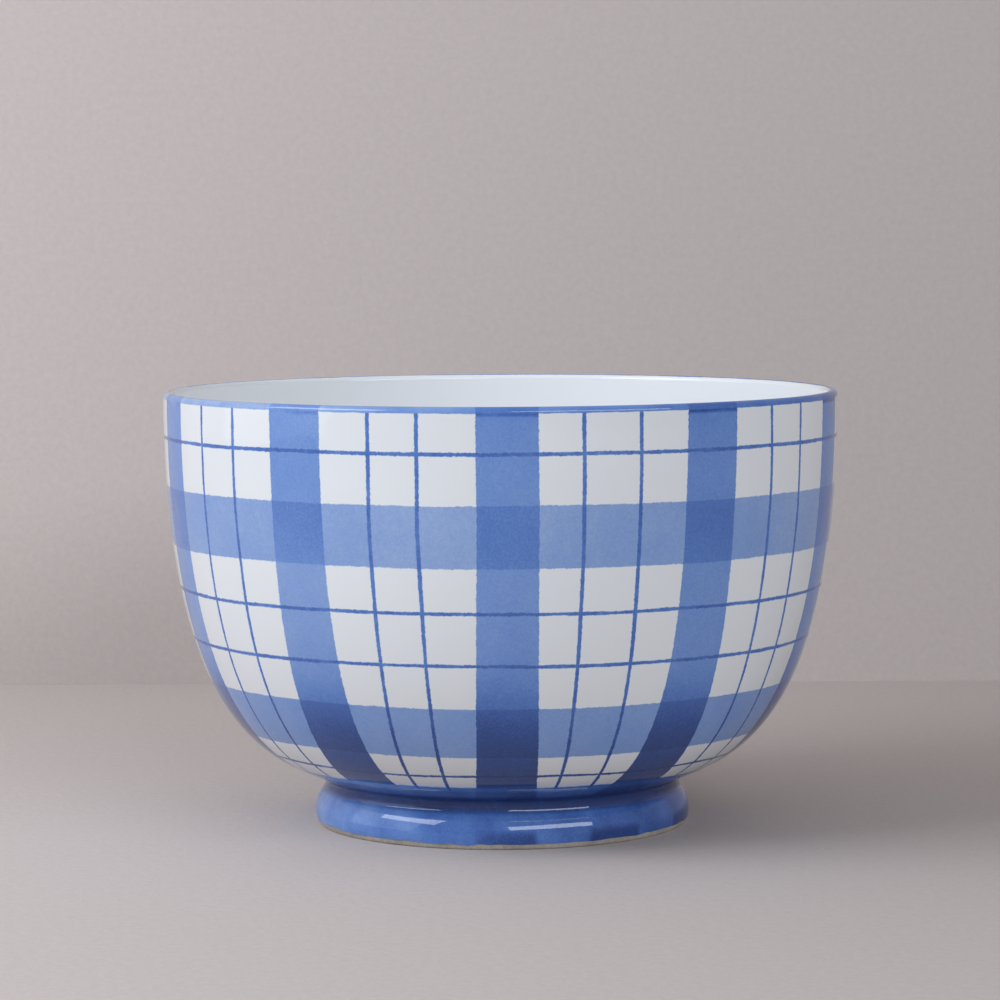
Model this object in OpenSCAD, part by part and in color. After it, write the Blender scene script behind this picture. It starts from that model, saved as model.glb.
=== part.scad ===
// Deep footed stoneware bowl: a thrown body, a foot ring luted on with slip, and its coats of glaze.
// Millimetres, +Z up. The origin is on the axis, in the plane that the foot stands on.

/* [Bowl] */
// Width across the lip
bowl_w = 240; // [220:2:260]
// Height from the standing face to the top of the lip
bowl_h = 154.8; // [144:0.4:166]
// Thickness of the wall, glazes included
wall_t = 4.6; // [3.8:0.1:6]
// Thickness of the lip, glazes included
lip_t = 3.6; // [3:0.1:4.6]
// Height of the floor inside, on the axis
floor_h = 19; // [18:0.5:22]
// Pull of the lower end of the wall's curve, which fills out the belly
belly_pull = 34; // [28:1:42]
// Pull of the upper end of the wall's curve, which keeps the side upright
side_pull = 74; // [60:1:84]

/* [Foot] */
// Width across the foot at its widest line
foot_w = 134.4; // [130:0.4:140]
// Width across the neck, between the foot and the bowl
neck_w = 127.4; // [124:0.2:129]
// Height of the foot's widest line
foot_mid_h = 4.4; // [4:0.2:5]
// Radius of the foot's rounded side
foot_side_r = 12; // [11.5:0.5:14]
// Radius of the hollow at the neck
neck_r = 3.4; // [2.4:0.1:4.4]
// Width across the recess inside the foot
recess_w = 114; // [108:0.5:115]
// Height of the recess under the floor
recess_h = 11.2; // [9.6:0.2:11.6]
// Width across the line where the underside turns up into the wall
under_w = 150; // [146:0.4:154]
// Slope of the underside, in degrees
under_slope = 24; // [22:0.5:26]

/* [Glaze] */
// Thickness of each coat of glaze
glaze_t = 0.3; // [0.2:0.05:0.5]
// Height of the bare clay left at the bottom of the foot
bare_h = 2; // [1:0.1:3]
// How far over the lip the inner glaze runs, in degrees from the outside
lip_edge = 45; // [20:5:80]

/* [Seam] */
// Thickness of the slip between the foot ring and the bowl
slip_t = 0.4; // [0.3:0.05:0.8]
// Radius of the slip's inner fillet
inner_fillet_r = 3; // [2:0.1:4]

/* [Hidden] */
$fn = 96;
wall_steps = 28; // pieces that the wall's curve is cut into
floor_steps = 12; // pieces that the floor's curve is cut into
arc_step = 7.5; // degrees of arc between two points
floor_t = wall_t + 1; // the wall thickens where it runs into the floor
base_round = 1; // radius of the foot's two bottom edges
seat_inset = 1.4; // how far the slip's two fillets reach in over the foot ring

// The foot's side is a round that runs into the hollow of the neck, which runs into the underside.
side_c = [foot_w / 2 - foot_side_r, foot_mid_h];
neck_dr = neck_w / 2 + neck_r - side_c[0];
neck_c = side_c + [neck_dr, sqrt(pow(foot_side_r + neck_r, 2) - pow(neck_dr, 2))];
side_top = atan2(neck_c[1] - side_c[1], neck_c[0] - side_c[0]); // where round and hollow meet
under_dir = [cos(under_slope), sin(under_slope)];
under_in = [-sin(under_slope), cos(under_slope)]; // from the underside into the clay
under_p = neck_c + neck_r * under_in; // where the hollow touches the underside
wall_foot = under_p + under_dir * (under_w / 2 - under_p[0]) / under_dir[0];

// Inside the foot, the underside runs down to a flat recess.
recess_p = under_p - under_dir * (under_p[1] - recess_h) / under_dir[1];
fillet_r = recess_w / 2 - inner_fillet_r;
fillet_c = [fillet_r, under_z(fillet_r) - inner_fillet_r / cos(under_slope)];

// One curve draws the wall from the underside to the lip, and one draws the floor.
lip_c = [(bowl_w - lip_t) / 2, bowl_h - lip_t / 2];
wall_curve = [wall_foot, wall_foot + belly_pull * under_dir,
    [bowl_w / 2, lip_c[1] - side_pull], [bowl_w / 2, lip_c[1]]];
floor_edge = wall_foot + floor_t * under_in;
floor_curve = [[0, floor_h], [floor_edge[0] * 0.5, floor_h],
    floor_edge - 0.24 * floor_edge[0] * under_dir, floor_edge];

function under_z(r) = under_p[1] + (r - under_p[0]) * tan(under_slope);
function curve(p, t) = pow(1 - t, 3) * p[0] + 3 * pow(1 - t, 2) * t * p[1]
    + 3 * (1 - t) * t * t * p[2] + pow(t, 3) * p[3];
function curve_dir(p, t) = pow(1 - t, 2) * (p[1] - p[0]) + 2 * (1 - t) * t * (p[2] - p[1])
    + t * t * (p[3] - p[2]);
function left_of(v) = [-v[1], v[0]] / norm(v);
function beside(p, t, d) = curve(p, t) + d * left_of(curve_dir(p, t));
function thickness(t) = wall_t + (lip_t - wall_t) * pow(t, 4) + (floor_t - wall_t) * pow(1 - t, 4);
function arc(c, r, a, b) = let (n = ceil(abs(b - a) / arc_step))
    [for (i = [0:n]) c + r * [cos(a + (b - a) * i / n), sin(a + (b - a) * i / n)]];

// Lines at a depth d under the finished surface, each drawn from the foot towards the lip.
function wall_out(d) = [for (i = [0:wall_steps]) beside(wall_curve, i / wall_steps, d)];
function wall_in(d) = [for (i = [0:wall_steps]) let (t = i / wall_steps)
    beside(wall_curve, t, thickness(t) - d)];
function floor_line(d) = [for (i = [0:floor_steps]) beside(floor_curve, i / floor_steps, -d)];
function lip(d, a, b) = arc(lip_c, lip_t / 2 - d, a, b);
function neck(d, a, b) = arc(neck_c, neck_r + d, a, b);
function side(d, a, b) = arc(side_c, foot_side_r - d, a, b);
function fillet(d, a, b) = arc(fillet_c, inner_fillet_r + d, a, b);
function recess_edge(d) = [recess_p[0] - d * tan(under_slope / 2), recess_h + d];
function side_angle(d, z) = asin((z - foot_mid_h) / (foot_side_r - d));
function seat(r) = [r, under_z(r) + (glaze_t - slip_t) / cos(under_slope)];
function reversed(v) = [for (i = [len(v) - 1:-1:0]) v[i]];

touch = 90 + under_slope; // where a fillet or the neck touches the underside
inner_r = recess_w / 2 + glaze_t; // inside of the clay ring
seat_out = seat(neck_w / 2 - glaze_t - seat_inset);
seat_in = seat(inner_r + seat_inset);

// The ring's outer bottom edge is a small round inside the round of its side.
edge_r = foot_side_r - glaze_t - base_round;
edge_angle = asin((base_round - foot_mid_h) / edge_r);
edge_c = side_c + edge_r * [cos(edge_angle), sin(edge_angle)];

module turned(outline) {
    rotate_extrude() polygon(outline);
}

// Clay wall and floor, in one thrown piece.
module stoneware_bowl() {
    color([0.80, 0.76, 0.70]) turned(concat(
        [[0, recess_h + glaze_t], recess_edge(glaze_t)], wall_out(glaze_t),
        lip(glaze_t, 0, lip_edge), lip(glaze_t, lip_edge, 180),
        reversed(wall_in(glaze_t)), reversed(floor_line(glaze_t))));
}

// Ring that the bowl stands on, with a bare flat bottom.
module foot_ring() {
    bare_top = side_angle(glaze_t, bare_h);
    color([0.66, 0.62, 0.57]) turned(concat(
        arc(edge_c, base_round, -90, edge_angle), side(glaze_t, edge_angle, bare_top),
        side(glaze_t, bare_top, side_top), neck(glaze_t, side_top + 180, 180),
        [seat_out, seat_in, [inner_r, fillet_c[1]]],
        arc([inner_r + base_round, base_round], base_round, 180, 270)));
}

// Slip squeezed between the ring and the bowl, smoothed into a fillet on both sides.
module slip_seam() {
    color([0.72, 0.67, 0.60]) turned(concat(
        neck(glaze_t, 180, touch), fillet(glaze_t, touch, 0), [seat_in, seat_out]));
}

// White coat over the inside and the top of the lip.
module inner_glaze() {
    color([0.90, 0.92, 0.93]) turned(concat(
        floor_line(glaze_t), wall_in(glaze_t), lip(glaze_t, 180, lip_edge),
        lip(0, lip_edge, 180), reversed(wall_in(0)), reversed(floor_line(0))));
}

// Coat over the painted outside, from the lip down to the underside.
module outer_glaze() {
    color([0.42, 0.53, 0.76]) turned(concat(
        wall_out(0), lip(0, 0, lip_edge), lip(glaze_t, lip_edge, 0), reversed(wall_out(glaze_t))));
}

// Blue coat over the neck and the foot, stopping short of the standing face.
module foot_glaze() {
    color([0.16, 0.25, 0.52]) turned(concat(
        side(0, side_angle(0, bare_h), side_top), neck(0, side_top + 180, touch), [wall_foot],
        [wall_foot + glaze_t * under_in], neck(glaze_t, touch, 180),
        neck(glaze_t, 180, side_top + 180), side(glaze_t, side_top, side_angle(glaze_t, bare_h))));
}

// Coat over the recess inside the foot.
module underside_glaze() {
    color([0.84, 0.85, 0.84]) turned(concat(
        [[0, recess_h], recess_edge(0)], fillet(0, touch, 0),
        [[recess_w / 2, bare_h], [inner_r, bare_h]], fillet(glaze_t, 0, touch),
        [recess_edge(glaze_t), [0, recess_h + glaze_t]]));
}

stoneware_bowl();
foot_ring();
slip_seam();
inner_glaze();
outer_glaze();
foot_glaze();
underside_glaze();
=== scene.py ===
import math
import bpy
from mathutils import Euler, Matrix


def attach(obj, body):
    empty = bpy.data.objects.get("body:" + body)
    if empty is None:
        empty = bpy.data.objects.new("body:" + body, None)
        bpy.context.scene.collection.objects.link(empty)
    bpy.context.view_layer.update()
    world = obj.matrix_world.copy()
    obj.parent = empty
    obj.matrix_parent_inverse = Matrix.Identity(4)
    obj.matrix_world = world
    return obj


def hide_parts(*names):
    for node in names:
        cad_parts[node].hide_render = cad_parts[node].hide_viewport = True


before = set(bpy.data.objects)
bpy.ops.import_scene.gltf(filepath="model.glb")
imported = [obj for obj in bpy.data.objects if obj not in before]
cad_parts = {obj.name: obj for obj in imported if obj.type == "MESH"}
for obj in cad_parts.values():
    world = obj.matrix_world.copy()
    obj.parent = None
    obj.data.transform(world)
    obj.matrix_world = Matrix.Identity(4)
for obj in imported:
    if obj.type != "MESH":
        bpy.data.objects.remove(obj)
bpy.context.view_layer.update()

# The turned body, in metres and degrees.
body = {
    "lipWidth": 0.240,
    "height": 0.1548,
    "wall": 0.0046,
    "wallAtFloor": 0.0056,
    "lipThickness": 0.0036,
    "floorHeight": 0.019,
    "bellyPull": 0.034,  # how far the wall's curve follows the underside's slope
    "sidePull": 0.074,  # how far it comes straight down from the lip
    "floorPulls": (0.5, 0.24),  # the same for the floor's curve, as shares of its radius
    "coat": 0.0003,  # thickness of every glaze
    "lipSeam": 45,  # degrees from the outside where the white coat meets the painted one
    "spinSteps": 288,
}
# The ring that the body stands on, and the slip that joins them.
foot = {
    "width": 0.1344,
    "neckWidth": 0.1274,
    "middle": 0.0044,  # height of the widest line
    "sideRound": 0.012,
    "neckRound": 0.0034,
    "recessWidth": 0.114,
    "recessHeight": 0.0112,
    "underWidth": 0.150,
    "underSlope": 24,
    "bare": 0.0020,  # clay left bare at the bottom
    "hemWave": 0.0011,  # how far the blue coat's lowest edge wanders
    "hemGrain": 0.007,
    "bottomRound": 0.001,
    "innerFillet": 0.003,
    "seatInset": 0.0014,
    "slip": 0.0004,
}


# Every outline is a cut through the axis, as points of (radius, height).
def polar(centre, radius, degrees):
    angle = math.radians(degrees)
    return (centre[0] + radius * math.cos(angle), centre[1] + radius * math.sin(angle))


def along(start, direction, amount):
    return (start[0] + direction[0] * amount, start[1] + direction[1] * amount)


def cubic(pulls, t):
    weights = ((1 - t) ** 3, 3 * t * (1 - t) ** 2, 3 * t * t * (1 - t), t ** 3)
    return tuple(sum(w * p[i] for w, p in zip(weights, pulls)) for i in (0, 1))


def cubicSide(pulls, t):
    weights = ((1 - t) ** 2, 2 * t * (1 - t), t * t)
    steps = [(b[0] - a[0], b[1] - a[1]) for a, b in zip(pulls, pulls[1:])]
    way = tuple(sum(w * s[i] for w, s in zip(weights, steps)) for i in (0, 1))
    size = math.hypot(*way)
    return (-way[1] / size, way[0] / size)


def arcLine(centre, radius, start, end, step=5):
    count = max(1, math.ceil(abs(end - start) / step))
    return [polar(centre, radius, start + (end - start) * i / count) for i in range(count + 1)]


slope = math.radians(foot["underSlope"])
underWay = (math.cos(slope), math.sin(slope))
underIn = (-math.sin(slope), math.cos(slope))
sideCentre = (foot["width"] / 2 - foot["sideRound"], foot["middle"])
neckAcross = foot["neckWidth"] / 2 + foot["neckRound"] - sideCentre[0]
neckUp = math.sqrt((foot["sideRound"] + foot["neckRound"]) ** 2 - neckAcross ** 2)
neckCentre = (sideCentre[0] + neckAcross, sideCentre[1] + neckUp)
sideTop = math.degrees(math.atan2(neckUp, neckAcross))
underTouch = along(neckCentre, underIn, foot["neckRound"])
wallFoot = along(underTouch, underWay, (foot["underWidth"] / 2 - underTouch[0]) / underWay[0])
lipCentre = ((body["lipWidth"] - body["lipThickness"]) / 2, body["height"] - body["lipThickness"] / 2)
wallPulls = [
    wallFoot,
    along(wallFoot, underWay, body["bellyPull"]),
    (body["lipWidth"] / 2, lipCentre[1] - body["sidePull"]),
    (body["lipWidth"] / 2, lipCentre[1]),
]
floorEdge = along(wallFoot, underIn, body["wallAtFloor"])
floorPulls = [
    (0, body["floorHeight"]),
    (floorEdge[0] * body["floorPulls"][0], body["floorHeight"]),
    along(floorEdge, underWay, -body["floorPulls"][1] * floorEdge[0]),
    floorEdge,
]
touch = 90 + foot["underSlope"]  # where a fillet or the neck touches the underside


def underHeight(radius):
    return underTouch[1] + (radius - underTouch[0]) * math.tan(slope)


def wallOut(depth, steps=60):
    ways = [i / steps for i in range(steps + 1)]
    return [along(cubic(wallPulls, t), cubicSide(wallPulls, t), depth) for t in ways]


def wallThickness(t):
    lipPart = (body["lipThickness"] - body["wall"]) * t ** 4
    return body["wall"] + lipPart + (body["wallAtFloor"] - body["wall"]) * (1 - t) ** 4


def wallIn(depth, steps=60):
    ways = [i / steps for i in range(steps + 1)]
    return [
        along(cubic(wallPulls, t), cubicSide(wallPulls, t), wallThickness(t) - depth) for t in ways
    ]


def floorLine(depth, steps=28):
    ways = [i / steps for i in range(steps + 1)]
    line = [along(cubic(floorPulls, t), cubicSide(floorPulls, t), -depth) for t in ways]
    line[0] = (0, body["floorHeight"] - depth)
    return line


def lipArc(depth, start, end):
    return arcLine(lipCentre, body["lipThickness"] / 2 - depth, start, end)


def sideAngle(depth, height):
    return math.degrees(math.asin((height - foot["middle"]) / (foot["sideRound"] - depth)))


def turnOutline(name, outline):
    # One point is dragged round the outline, then the outline is spun into a closed piece.
    bpy.ops.object.select_all(action="DESELECT")
    bpy.ops.mesh.primitive_plane_add(size=0.001, location=(0, 0, 0))
    piece = bpy.context.object
    piece.name = name
    piece.data.name = name
    bpy.ops.object.mode_set(mode="EDIT")
    bpy.ops.mesh.select_all(action="SELECT")
    bpy.ops.mesh.merge(type="CENTER")
    bpy.ops.transform.translate(value=(outline[0][0], 0, outline[0][1]))
    for last, here in zip(outline, outline[1:]):
        step = (here[0] - last[0], 0, here[1] - last[1])
        bpy.ops.mesh.extrude_region_move(TRANSFORM_OT_translate={"value": step})
    bpy.ops.mesh.select_all(action="SELECT")
    bpy.ops.mesh.spin(steps=body["spinSteps"], angle=2 * math.pi, center=(0, 0, 0), axis=(0, 0, 1))
    bpy.ops.mesh.select_all(action="SELECT")
    bpy.ops.mesh.remove_doubles(threshold=0.000004)
    bpy.ops.mesh.normals_make_consistent(inside=False)
    bpy.ops.object.mode_set(mode="OBJECT")
    bpy.ops.object.shade_smooth_by_angle(angle=math.radians(35))
    return piece


def unevenHem(piece):
    # The lowest edge of a coat wanders up and down where the glaze was wiped off.
    height = foot["bare"] + 0.0002
    bpy.ops.object.select_all(action="DESELECT")
    piece.select_set(True)
    bpy.context.view_layer.objects.active = piece
    hem = piece.vertex_groups.new(name="hem")
    hem.add([vertex.index for vertex in piece.data.vertices if vertex.co.z < height], 1.0, "REPLACE")
    clouds = bpy.data.textures.new(piece.name + "Hem", "CLOUDS")
    clouds.noise_scale = foot["hemGrain"]
    clouds.noise_depth = 2
    bpy.ops.object.modifier_add(type="DISPLACE")
    wander = piece.modifiers[-1]
    wander.texture = clouds
    wander.texture_coords = "LOCAL"
    wander.direction = "Z"
    wander.vertex_group = hem.name
    wander.mid_level = 0.5
    wander.strength = foot["hemWave"]
    bpy.ops.object.modifier_apply(modifier=wander.name)
    piece.vertex_groups.clear()


# Where the picture is taken from, in metres and degrees.
view = {
    "place": (-0.0003, -1.2907, 0.2184),
    "down": 4.58,
    "roll": 0.25,
    "lens": 130.18,
}
cameraData = bpy.data.cameras.new("studioCamera")
cameraData.lens = view["lens"]
cameraData.sensor_width = 36
cameraData.clip_end = 60
camera = bpy.data.objects.new("studioCamera", cameraData)
bpy.context.scene.collection.objects.link(camera)
tilt = Euler((math.radians(90 - view["down"]), 0, 0)).to_matrix().to_4x4()
camera.matrix_world = (
    Matrix.Translation(view["place"]) @ tilt @ Matrix.Rotation(math.radians(-view["roll"]), 4, "Z")
)
bpy.context.scene.camera = camera
print("camera is up")


def newRecipe(name):
    material = bpy.data.materials.new(name)
    material.use_nodes = True
    tree = material.node_tree
    tree.nodes.clear()
    return material, tree


def put(tree, kind, inputs=None, **settings):
    # Adds a node, with its settings, and with a value or a link for each input.
    node = tree.nodes.new(kind)
    for key, value in settings.items():
        setattr(node, key, value)
    for key, value in (inputs or {}).items():
        if isinstance(value, bpy.types.NodeSocket):
            tree.links.new(value, node.inputs[key])
        else:
            node.inputs[key].default_value = value
    return node


def calc(tree, operation, *values):
    return put(tree, "ShaderNodeMath", dict(enumerate(values)), operation=operation).outputs[0]


def remap(tree, value, fromLow, fromHigh, toLow=0.0, toHigh=1.0, smooth=True):
    ends = {"Value": value, "From Min": fromLow, "From Max": fromHigh, "To Min": toLow, "To Max": toHigh}
    kind = "SMOOTHSTEP" if smooth else "LINEAR"
    return put(tree, "ShaderNodeMapRange", ends, interpolation_type=kind).outputs["Result"]


def nudge(tree, value, *parts):
    # Adds a share of each noise or mask to a value.
    for part, share in parts:
        value = calc(tree, "MULTIPLY_ADD", part, share, value)
    return value


def blend(tree, share, under, over):
    return put(tree, "ShaderNodeMix", {"Factor": share, "A": under, "B": over}).outputs[0]


def blendColour(tree, share, under, over):
    ends = {"Factor": share, "A": under, "B": over}
    return put(tree, "ShaderNodeMix", ends, data_type="RGBA").outputs[2]


def cloud(tree, vector, grain, detail=2.0, roughness=0.5):
    # Three unlike noises of a grain size in metres, each from about -0.5 to 0.5.
    ends = {"Vector": vector, "Scale": 1 / grain, "Detail": detail, "Roughness": roughness}
    noise = put(tree, "ShaderNodeTexNoise", ends)
    centred = put(tree, "ShaderNodeVectorMath", {0: noise.outputs["Color"], 1: (0.5, 0.5, 0.5)},
                  operation="SUBTRACT")
    split = put(tree, "ShaderNodeSeparateXYZ", {0: centred.outputs[0]})
    return split.outputs[0], split.outputs[1], split.outputs[2]


def placeOf(tree):
    spot = put(tree, "ShaderNodeTexCoord").outputs["Object"]
    split = put(tree, "ShaderNodeSeparateXYZ", {0: spot})
    return spot, split.outputs[0], split.outputs[1], split.outputs[2]


def wheelPlace(tree):
    # Where a spot is as the wheel sees it: turn from the front, radius and height.
    spot, x, y, z = placeOf(tree)
    flat = put(tree, "ShaderNodeCombineXYZ", {0: x, 1: y})
    radius = put(tree, "ShaderNodeVectorMath", {0: flat.outputs[0]}, operation="LENGTH").outputs["Value"]
    turn = calc(tree, "ARCTAN2", x, calc(tree, "MULTIPLY", y, -1.0))
    return spot, turn, radius, z


# The painting. Heights, radii and widths are in metres, and washes are amounts of pigment.
brush = {
    "bands": 10,
    "bandWidth": 0.0207,
    "bandWash": 0.88,
    "bandTop": 0.16,  # added where a band leaves the lip
    "bandPool": 1.7,  # added where a band runs down to the foot
    "lines": (13.9, 23.1),  # degrees after each band
    "lineWidth": 0.00130,
    "lineInk": 1.4,
    "linePool": 0.9,
    "lineOverWash": -0.75,  # a line takes less on ground that is wet with pigment
    "poolFrom": (0.080, 0.024),  # heights where pooling starts and where it is full
    # Degrees that the hand strayed at each band and at each line, round from the back.
    "bandStray": (-0.6, 0.7, 0.2, 0.5, 1.2, 1.05, 0.0, 0.7, 0.4, -0.3, -0.6),
    "lineStray": ((0.3, -0.5, 0.6, 0.2, 0.8, -0.7, -0.3, 0.4, -0.6, 0.1, 0.3),
                  (-0.2, 0.6, -0.4, 0.3, -0.3, -0.4, -0.7, -0.5, 0.2, 0.4, -0.2)),
    "hoops": ((0.1017, 0.1224), (0.0360, 0.0540)),
    "hoopWash": (0.73, 0.80),
    "hoopOverBand": 0.42,
    "hairHoops": ((0.1394, 0.00120), (0.0865, 0.00110), (0.0687, 0.00110), (0.0284, 0.0007)),
    "footEdge": 0.0234,  # top of the solid blue
    "footWash": 1.42,
    "footShadeLean": 0.45,  # painted shade: more pigment on the foot's right side and less on its left, darker away from the key light
    "neckShadeWash": 1.5,  # painted shade: pigment added in the hollow of the neck, where shade falls
    "neckRise": (0.0114, 0.0140),  # heights between which that sets in
    "neckFall": (0.0195, 0.0165),  # and between which it ends
    "lipInner": 0.1174,  # radius where the lip's line stops on the crown
    "lipBottom": 0.1527,
    "lipWash": 1.0,
    # Painted light: the lip's line is made lighter on the left and darker on the right, as the key light
    # falls from the left.
    "lipShadeLean": 0.45,
    "lipDrip": 0.0016,  # how far pigment hangs under the line at a band
    "edgeSoft": 0.0002,
}

# Cobalt wash, from none to pooled: share of the white glaze's light that comes back.
cobalt = (
    (0.0, (1.0, 1.0, 1.0)),
    (0.35, (0.57, 0.70, 0.90)),
    (0.75, (0.30, 0.45, 0.80)),
    (1.0, (0.20, 0.355, 0.76)),
    (1.3, (0.124, 0.26, 0.66)),
    (1.6, (0.085, 0.19, 0.56)),
    (2.2, (0.042, 0.105, 0.36)),
    (3.0, (0.025, 0.055, 0.20)),
)

glaze = {
    "white": (0.722, 0.740, 0.752),
    # Painted light: the inside's white is made brighter than the outside's to stand in for soft
    # highlights on the inside of the back wall.
    "insideLitWhite": (0.792, 0.806, 0.815),
    "undersideThin": (0.72, 0.75, 0.76, 1),
    "undersideThick": (0.81, 0.83, 0.83, 1),
    "speck": (0.16, 0.17, 0.2, 1),
    "speckSpacing": 0.012,
    "roughness": 0.05,
    "undersideRoughness": 0.12,
    "ripple": 0.22,
}


def strokeMask(tree, offset, halfWidth, soft=brush["edgeSoft"]):
    # One inside a stroke, nought outside it.
    gap = calc(tree, "SUBTRACT", calc(tree, "ABSOLUTE", offset), halfWidth)
    return remap(tree, gap, soft, -soft)


def arcFrom(tree, turn, radius, degrees, stray):
    # Distance round the pot to the nearest stroke of a set, each stroke a little astray.
    pitch = 2 * math.pi / brush["bands"]
    share = calc(tree, "DIVIDE", calc(tree, "SUBTRACT", turn, math.radians(degrees)), pitch)
    count = calc(tree, "ROUND", share)
    step = calc(tree, "MULTIPLY_ADD", count, 1 / len(stray), 0.5)
    ramp = put(tree, "ShaderNodeValToRGB", {"Fac": step})
    ramp.color_ramp.interpolation = "CONSTANT"
    stops = ramp.color_ramp.elements
    for number in range(len(stray) - 2):
        stops.new((number + 1) / len(stray))
    stops[len(stops) - 1].position = (len(stray) - 1) / len(stray)
    for stop, degree in zip(stops, stray):  # black is two degrees back, white is two degrees on
        grey = 0.5 + degree / 4
        stop.color = (grey, grey, grey, 1)
    most = math.radians(2) / pitch
    shift = remap(tree, ramp.outputs["Color"], 0, 1, -most, most, smooth=False)
    near = calc(tree, "SUBTRACT", calc(tree, "SUBTRACT", share, count), shift)
    return calc(tree, "MULTIPLY", calc(tree, "MULTIPLY", near, pitch), radius)


def lipLine(tree, ink, band, turn, radius, z, jag, mottle):
    # Line over the lip, darker where a band runs up to it, with pigment hanging under it there.
    soft = brush["edgeSoft"]
    above = calc(tree, "SUBTRACT", z, brush["lipBottom"])
    above = remap(tree, nudge(tree, above, (jag[0], 0.0005), (mottle[1], 0.0003)), -soft, soft)
    outside = calc(tree, "SUBTRACT", radius, brush["lipInner"])
    outside = remap(tree, nudge(tree, outside, (jag[1], 0.0004), (mottle[2], 0.0004)), -soft, soft)
    # Painted light: the line and the pigment hanging under it are made lighter on the left and darker on
    # the right.
    side = calc(tree, "SINE", turn)
    lipInk = nudge(tree, brush["lipWash"], (mottle[0], 0.6), (band, 0.35), (side, brush["lipShadeLean"]))
    drip = remap(tree, z, brush["lipBottom"] - brush["lipDrip"], brush["lipBottom"] - soft)
    drip = calc(tree, "MULTIPLY", calc(tree, "MULTIPLY", band, drip), outside)
    ink = calc(tree, "MULTIPLY_ADD", drip, nudge(tree, 0.65, (mottle[1], 1.2), (side, 0.6)), ink)
    return blend(tree, calc(tree, "MULTIPLY", above, outside), ink, lipInk)


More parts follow.
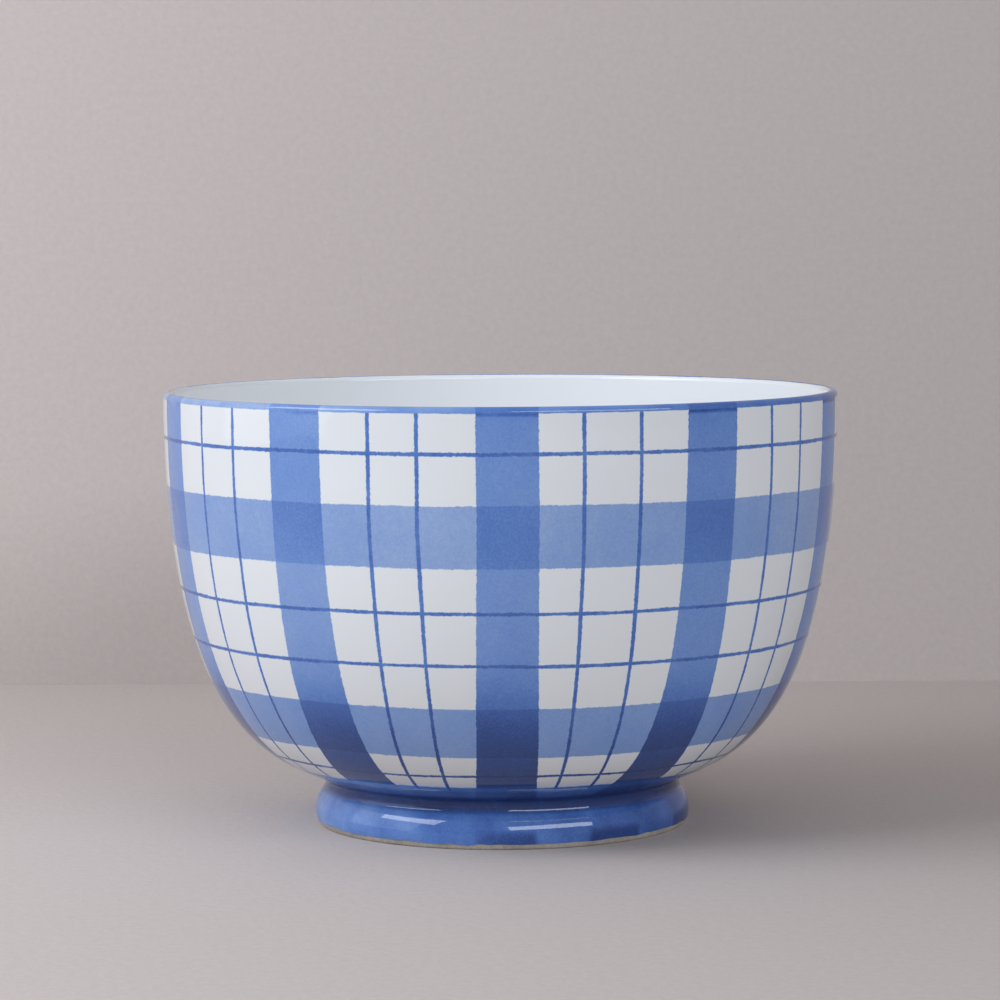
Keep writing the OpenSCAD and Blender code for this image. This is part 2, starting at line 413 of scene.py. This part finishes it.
def paintedWash(tree):
    # The noises, from the sway of the arm down to the grain of the pigment.
    spot, turn, radius, z = wheelPlace(tree)
    sway = cloud(tree, spot, 0.050, 1.0)
    mottle = cloud(tree, spot, 0.012, 2.0)
    jag = cloud(tree, spot, 0.0026, 2.0, 0.6)
    grain = cloud(tree, spot, 0.0008, 1.0, 0.6)
    side = calc(tree, "SINE", turn)

    # Upright bands and lines.
    bandWay = arcFrom(tree, turn, radius, 0, brush["bandStray"])
    bandEdge = nudge(tree, brush["bandWidth"] / 2, (jag[0], 0.0006), (grain[1], 0.0006))
    band = strokeMask(tree, nudge(tree, bandWay, (sway[0], 0.0009)), bandEdge)
    lineEdge = nudge(tree, brush["lineWidth"] / 2, (mottle[1], 0.0003), (jag[2], 0.0003),
                     (grain[1], 0.0006), (remap(tree, z, 0.090, 0.040), -0.0001))
    upright = None
    for degrees, stray in zip(brush["lines"], brush["lineStray"]):
        way = arcFrom(tree, turn, radius, degrees, stray)
        line = strokeMask(tree, nudge(tree, way, (sway[1], 0.0016), (mottle[0], 0.0002)), lineEdge)
        upright = line if upright is None else calc(tree, "MAXIMUM", upright, line)

    # Hoops and thin hoops.
    hoop = None
    for (low, high), amount in zip(brush["hoops"], brush["hoopWash"]):
        way = nudge(tree, calc(tree, "SUBTRACT", z, (low + high) / 2), (sway[2], 0.0011))
        half = nudge(tree, (high - low) / 2, (jag[1], 0.0007), (grain[2], 0.0007))
        mask = calc(tree, "MULTIPLY", strokeMask(tree, way, half), amount)
        hoop = mask if hoop is None else calc(tree, "MAXIMUM", hoop, mask)
    hair = None
    for height, width in brush["hairHoops"]:
        way = nudge(tree, calc(tree, "SUBTRACT", z, height), (sway[1], 0.0010), (mottle[2], 0.0002))
        half = nudge(tree, width / 2, (mottle[0], 0.0004), (jag[2], 0.0003), (grain[0], 0.0006))
        mask = strokeMask(tree, way, half)
        hair = mask if hair is None else calc(tree, "MAXIMUM", hair, mask)

    # How much pigment lies on each spot.
    pooled = calc(tree, "POWER", remap(tree, z, *brush["poolFrom"]), 1.5)
    # The bands take a little more pigment on the right side: partly the hand's own variation, partly
    # painted shade away from the key light.
    bandInk = nudge(tree, brush["bandWash"], (mottle[0], 0.18), (sway[2], 0.4),
                    (pooled, brush["bandPool"]), (remap(tree, z, 0.095, 0.120), brush["bandTop"]),
                    (side, 0.08))
    bandInk = calc(tree, "MULTIPLY", band, bandInk)
    hoopLess = calc(tree, "MULTIPLY_ADD", band, brush["hoopOverBand"] - 1, 1.0)
    hoopInk = nudge(tree, 1.0, (mottle[1], 0.25), (sway[0], 0.35))
    wash = calc(tree, "MULTIPLY_ADD", calc(tree, "MULTIPLY", hoop, hoopLess), hoopInk, bandInk)
    lineInk = nudge(tree, brush["lineInk"], (mottle[2], 0.7), (jag[0], 0.8),
                    (wash, brush["lineOverWash"]), (pooled, brush["linePool"]))
    ink = calc(tree, "MULTIPLY_ADD", calc(tree, "MAXIMUM", upright, hair), lineInk, wash)

    # Solid blue over the neck and the foot, with the bands showing softly through it on one side.
    edge = nudge(tree, calc(tree, "SUBTRACT", z, brush["footEdge"]), (jag[2], 0.0006), (sway[0], 0.0010))
    ring = remap(tree, edge, 0.0004, -0.0004)
    # Painted shade: the hollow of the neck gets extra pigment where shade falls.
    neckShade = remap(tree, z, *brush["neckRise"])
    neckShade = calc(tree, "MULTIPLY", neckShade, remap(tree, z, *brush["neckFall"]))
    neckShade = calc(tree, "MULTIPLY", neckShade, brush["neckShadeWash"])
    shown = calc(tree, "ADD", remap(tree, z, 0.0075, 0.0045), remap(tree, z, 0.0165, 0.0185))
    shown = calc(tree, "MULTIPLY", shown, strokeMask(tree, bandWay, bandEdge, 0.0012))
    shown = calc(tree, "MULTIPLY", shown, remap(tree, side, -0.35, 0.15, 0.0, 0.85))
    lineEnds = calc(tree, "MULTIPLY", upright, remap(tree, z, 0.0212, 0.0232))
    # Painted shade: the foot is made darker on its right side, away from the key light.
    ringInk = nudge(tree, brush["footWash"], (mottle[2], 1.1), (sway[1], 0.7), (shown, 1.0),
                    (neckShade, 1.0), (side, brush["footShadeLean"]), (lineEnds, 0.8))
    ink = blend(tree, ring, ink, ringInk)
    ink = lipLine(tree, ink, band, turn, radius, z, jag, mottle)
    return spot, calc(tree, "MULTIPLY", ink, nudge(tree, 1.0, (grain[0], 0.36), (jag[2], 0.15)))


def lipWash(tree):
    # The white coat carries only the part of the lip's line that runs over the crown.
    spot, turn, radius, z = wheelPlace(tree)
    mottle = cloud(tree, spot, 0.012, 2.0)
    jag = cloud(tree, spot, 0.0026, 2.0, 0.6)
    bandEdge = nudge(tree, brush["bandWidth"] / 2, (jag[0], 0.0009))
    band = strokeMask(tree, arcFrom(tree, turn, radius, 0, brush["bandStray"]), bandEdge)
    bare = calc(tree, "MULTIPLY", radius, 0.0)
    return spot, lipLine(tree, bare, band, turn, radius, z, jag, mottle)


def addSpecks(tree, spot, colour):
    # A few iron specks in the glaze.
    cells = put(tree, "ShaderNodeTexVoronoi", {"Vector": spot, "Scale": 1 / glaze["speckSpacing"]})
    size = put(tree, "ShaderNodeSeparateColor", {0: cells.outputs["Color"]})
    reach = remap(tree, size.outputs[0], 0.80, 1.0, 0.0, 0.030, smooth=False)
    mark = calc(tree, "LESS_THAN", cells.outputs["Distance"], reach)
    return blendColour(tree, calc(tree, "MULTIPLY", mark, 0.55), colour, glaze["speck"])


def glazeColour(tree, spot, ink, white):
    most = cobalt[-1][0]
    ramp = put(tree, "ShaderNodeValToRGB", {"Fac": calc(tree, "DIVIDE", ink, most)})
    points = ramp.color_ramp.elements
    while len(points) < len(cobalt):
        points.new(0.5)
    for point, (amount, share) in zip(points, cobalt):
        point.position = amount / most
    for point, (amount, share) in zip(points, cobalt):
        point.color = (share[0] * white[0], share[1] * white[1], share[2] * white[2], 1)
    return addSpecks(tree, spot, ramp.outputs["Color"])


def glossyGlaze(tree, spot, colour, gloss):
    slow = put(tree, "ShaderNodeTexNoise", {"Vector": spot, "Scale": 60.0, "Detail": 1.0})
    quick = put(tree, "ShaderNodeTexNoise", {"Vector": spot, "Scale": 420.0, "Detail": 1.0})
    height = calc(tree, "MULTIPLY_ADD", quick.outputs["Fac"], 0.06, slow.outputs["Fac"])
    bump = put(tree, "ShaderNodeBump", {
        "Strength": glaze["ripple"], "Distance": 0.0006, "Height": height})
    rough = remap(tree, quick.outputs["Fac"], 0.3, 0.7, gloss * 0.8, gloss * 1.3)
    shader = put(tree, "ShaderNodeBsdfPrincipled", {
        "Base Color": colour, "Roughness": rough, "IOR": 1.5, "Normal": bump.outputs[0]})
    put(tree, "ShaderNodeOutputMaterial", {"Surface": shader.outputs[0]})


def makePaintedGlaze(name, wash, white):
    material, tree = newRecipe(name)
    spot, ink = wash(tree)
    glossyGlaze(tree, spot, glazeColour(tree, spot, ink, white), glaze["roughness"])
    return material


def makeUndersideGlaze():
    material, tree = newRecipe("undersideGlaze")
    spot = placeOf(tree)[0]
    pool = remap(tree, cloud(tree, spot, 0.02, 3.0)[0], -0.25, 0.25)
    colour = blendColour(tree, pool, glaze["undersideThin"], glaze["undersideThick"])
    glossyGlaze(tree, spot, addSpecks(tree, spot, colour), glaze["undersideRoughness"])
    return material


def makeClay(name, base, dark):
    material, tree = newRecipe(name)
    spot = placeOf(tree)[0]
    sand = cloud(tree, spot, 0.0009, 3.0, 0.6)
    bloom = cloud(tree, spot, 0.012, 2.0)
    shade = calc(tree, "ADD", calc(tree, "MULTIPLY", sand[0], 1.3), bloom[0])
    colour = blendColour(tree, remap(tree, shade, -0.35, 0.35), dark, base)
    rough = remap(tree, sand[2], -0.3, 0.3, 0.7, 0.9)
    bump = put(tree, "ShaderNodeBump", {"Strength": 0.5, "Distance": 0.0003, "Height": sand[1]})
    shader = put(tree, "ShaderNodeBsdfPrincipled", {
        "Base Color": colour, "Roughness": rough, "Normal": bump.outputs[0]})
    put(tree, "ShaderNodeOutputMaterial", {"Surface": shader.outputs[0]})
    return material


def dress(piece, material):
    piece.data.materials.clear()
    piece.data.materials.append(material)


coat = body["coat"]
seam = body["lipSeam"]

whiteOutline = (
    floorLine(0) + wallIn(0)[1:] + lipArc(0, 180, seam)[1:]
    + lipArc(coat, seam, 180) + wallIn(coat)[::-1][1:] + floorLine(coat)[::-1][1:]
)
whiteInside = turnOutline("whiteInside", whiteOutline)
print("white inside is turned")

paintedOutline = wallOut(0) + lipArc(0, 0, seam)[1:] + lipArc(coat, seam, 0) + wallOut(coat)[::-1][1:]
paintedOutside = turnOutline("paintedOutside", paintedOutline + paintedOutline[:1])
print("painted outside is turned")

# The blue coat lies on the side of the foot, in the neck and on the underside as far as the wall.
neckRound = foot["neckRound"]
footOutline = (
    arcLine(sideCentre, foot["sideRound"], sideAngle(0, foot["bare"]), sideTop, 4)
    + arcLine(neckCentre, neckRound, sideTop + 180, touch, 6)[1:]
    + [wallFoot, along(wallFoot, underIn, coat)]
    + arcLine(neckCentre, neckRound + coat, touch, sideTop + 180, 6)
    + arcLine(sideCentre, foot["sideRound"] - coat, sideTop, sideAngle(coat, foot["bare"]), 4)[1:]
)
blueFoot = turnOutline("blueFoot", footOutline + footOutline[:1])
unevenHem(blueFoot)
print("blue foot is turned")

innerRadius = foot["recessWidth"] / 2 + coat
edgeRound = foot["sideRound"] - coat - foot["bottomRound"]
edgeAngle = math.degrees(math.asin((foot["bottomRound"] - foot["middle"]) / edgeRound))
edgeCentre = polar(sideCentre, edgeRound, edgeAngle)
innerEdge = (innerRadius + foot["bottomRound"], foot["bottomRound"])
filletRadius = foot["recessWidth"] / 2 - foot["innerFillet"]
filletCentre = (filletRadius, underHeight(filletRadius) - foot["innerFillet"] / math.cos(slope))


def seatPoint(radius):
    # The ring's top lies on the slip, which lies on the body.
    return (radius, underHeight(radius) + (coat - foot["slip"]) / math.cos(slope))


ringOutline = (
    arcLine(edgeCentre, foot["bottomRound"], -90, edgeAngle, 15)
    + arcLine(sideCentre, foot["sideRound"] - coat, edgeAngle, sideTop, 4)[1:]
    + arcLine(neckCentre, neckRound + coat, sideTop + 180, 180, 6)[1:]
    + [seatPoint(foot["neckWidth"] / 2 - coat - foot["seatInset"]),
       seatPoint(innerRadius + foot["seatInset"]), (innerRadius, filletCentre[1])]
    + arcLine(innerEdge, foot["bottomRound"], 180, 270, 15)
)
bareRing = turnOutline("bareRing", ringOutline + ringOutline[:1])

recessRadius = underTouch[0] - (underTouch[1] - foot["recessHeight"]) / math.tan(slope)


def recessEdge(depth):
    # Where the flat of the recess turns down into the underside's slope.
    return (recessRadius - depth * math.tan(slope / 2), foot["recessHeight"] + depth)


recessOutline = (
    [(0, foot["recessHeight"]), recessEdge(0)]
    + arcLine(filletCentre, foot["innerFillet"], touch, 0, 10)
    + [(foot["recessWidth"] / 2, foot["bare"]), (innerRadius, foot["bare"])]
    + arcLine(filletCentre, foot["innerFillet"] + coat, 0, touch, 10)
    + [recessEdge(coat), (0, foot["recessHeight"] + coat)]
)
recessCoat = turnOutline("recessCoat", recessOutline)
print("foot ring and recess are turned")

clay = {
    "bare": (0.45, 0.405, 0.355, 1),
    "bareDark": (0.30, 0.27, 0.235, 1),
    "covered": (0.56, 0.52, 0.47, 1),
    "coveredDark": (0.42, 0.39, 0.35, 1),
}
dress(whiteInside, makePaintedGlaze("whiteGlaze", lipWash, glaze["insideLitWhite"]))
dress(paintedOutside, makePaintedGlaze("paintedGlaze", paintedWash, glaze["white"]))
dress(blueFoot, makePaintedGlaze("blueGlaze", paintedWash, glaze["white"]))
dress(recessCoat, makeUndersideGlaze())
dress(bareRing, makeClay("bareClay", clay["bare"], clay["bareDark"]))
clayBody = makeClay("clayBody", clay["covered"], clay["coveredDark"])
for name in ("stoneware_bowl", "slip_seam"):
    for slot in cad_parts[name].material_slots:
        slot.material = clayBody

for piece, node, slot in (
    (whiteInside, "inner_glaze", "white_glaze"),
    (paintedOutside, "outer_glaze", "painted_glaze"),
    (blueFoot, "foot_glaze", "blue_glaze"),
    (bareRing, "foot_ring", "bare_clay"),
    (recessCoat, "underside_glaze", "underside_glaze"),
):
    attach(piece, "root")
    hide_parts(node)
print("pieces are dressed")

studio = {
    "paper": (0.562, 0.498, 0.465),
    "paperMottle": 0.065,
    "paperLightFalloff": (1.06, 0.92),  # painted light: the paper is made lighter on the left and darker on the right, as the key light falls off across it
    # Painted light: the floor is made a little lighter and the wall a little darker, though they are one
    # sheet of paper.
    "floorLightTone": 1.03,
    "wallShadeTone": 0.965,
    "wallAt": 0.374,
    "paperSize": 8,
    "roomLight": 0.335,
    "roomTint": (0.949, 1.0, 1.071),
    "aimHeight": 0.08,
    # Name, degrees round from the front, degrees up, metres away, width, height, watts, tint.
    "lights": (
        ("keySoftbox", -62.5, 32, 1.2, 0.84, 0.44, 6.5, (0.94, 1.0, 1.09)),
        ("sideSoftbox", -92, 25, 1.5, 2.4, 2.0, 15.0, (0.94, 1.0, 1.09)),
        ("fillSoftbox", 31, 20, 2.0, 1.9, 0.42, 15.6, (0.95, 1.0, 1.09)),
    ),
}


# Painted light: each sheet's colour is scaled by its own light tone.
def makePaper(name, paperLight, oneSided):
    material, tree = newRecipe(name)
    spot, x, y, z = placeOf(tree)
    fibre = cloud(tree, spot, 0.003, 4.0, 0.7)
    tint = remap(tree, fibre[0], -0.3, 0.3, smooth=False)
    low, high = (tuple(c * paperLight * (1 + way * studio["paperMottle"]) for c in studio["paper"]) + (1,)
                 for way in (-1, 1))
    colour = blendColour(tree, tint, low, high)
    # Painted light: the paper is lighter on the left and darker on the right.
    litShare = remap(tree, x, -0.25, 0.28, *studio["paperLightFalloff"], smooth=False)
    colour = put(tree, "ShaderNodeVectorMath", {0: colour, "Scale": litShare}, operation="SCALE").outputs[0]
    bump = put(tree, "ShaderNodeBump", {"Strength": 0.3, "Distance": 0.0006, "Height": fibre[1]})
    shader = put(tree, "ShaderNodeBsdfDiffuse", {"Color": colour, "Normal": bump.outputs[0]})
    surface = shader.outputs[0]
    if oneSided:  # clear from behind
        back = put(tree, "ShaderNodeNewGeometry").outputs["Backfacing"]
        clear = put(tree, "ShaderNodeBsdfTransparent").outputs[0]
        surface = put(tree, "ShaderNodeMixShader", {0: back, 1: surface, 2: clear}).outputs[0]
    put(tree, "ShaderNodeOutputMaterial", {"Surface": surface})
    return material


def layPaper(name, place, turned, paperLight, oneSided):
    bpy.ops.object.select_all(action="DESELECT")
    bpy.ops.mesh.primitive_plane_add(size=studio["paperSize"], location=place, rotation=turned)
    sheet = bpy.context.object
    sheet.name = name
    dress(sheet, makePaper(name, paperLight, oneSided))
    return sheet


paperFloor = layPaper("paperFloor", (0, 0, 0), (0, 0, 0), studio["floorLightTone"], False)
wallPlace = (0, studio["wallAt"], studio["paperSize"] / 2)
paperWall = layPaper("paperWall", wallPlace, (math.radians(90), 0, 0), studio["wallShadeTone"], True)


def softbox(name, azimuth, elevation, distance, width, height, power, tint):
    light = bpy.data.lights.new(name, "AREA")
    light.shape = "RECTANGLE"
    light.size = width
    light.size_y = height
    light.energy = power
    light.color = tint
    panel = bpy.data.objects.new(name, light)
    bpy.context.scene.collection.objects.link(panel)
    turn, rise = math.radians(azimuth), math.radians(elevation)
    way = (math.sin(turn) * math.cos(rise), -math.cos(turn) * math.cos(rise), math.sin(rise))
    panel.location = (way[0] * distance, way[1] * distance, way[2] * distance + studio["aimHeight"])
    panel.rotation_euler = Euler((math.radians(90 - elevation), 0, turn))
    panel.visible_camera = False


for settings in studio["lights"]:
    softbox(*settings)

world = bpy.data.worlds.new("studioAir")
world.use_nodes = True
air = world.node_tree.nodes["Background"]
air.inputs["Color"].default_value = studio["roomTint"] + (1,)
air.inputs["Strength"].default_value = studio["roomLight"]
bpy.context.scene.world = world
bpy.context.scene.view_settings.view_transform = "Standard"
print("studio is lit")
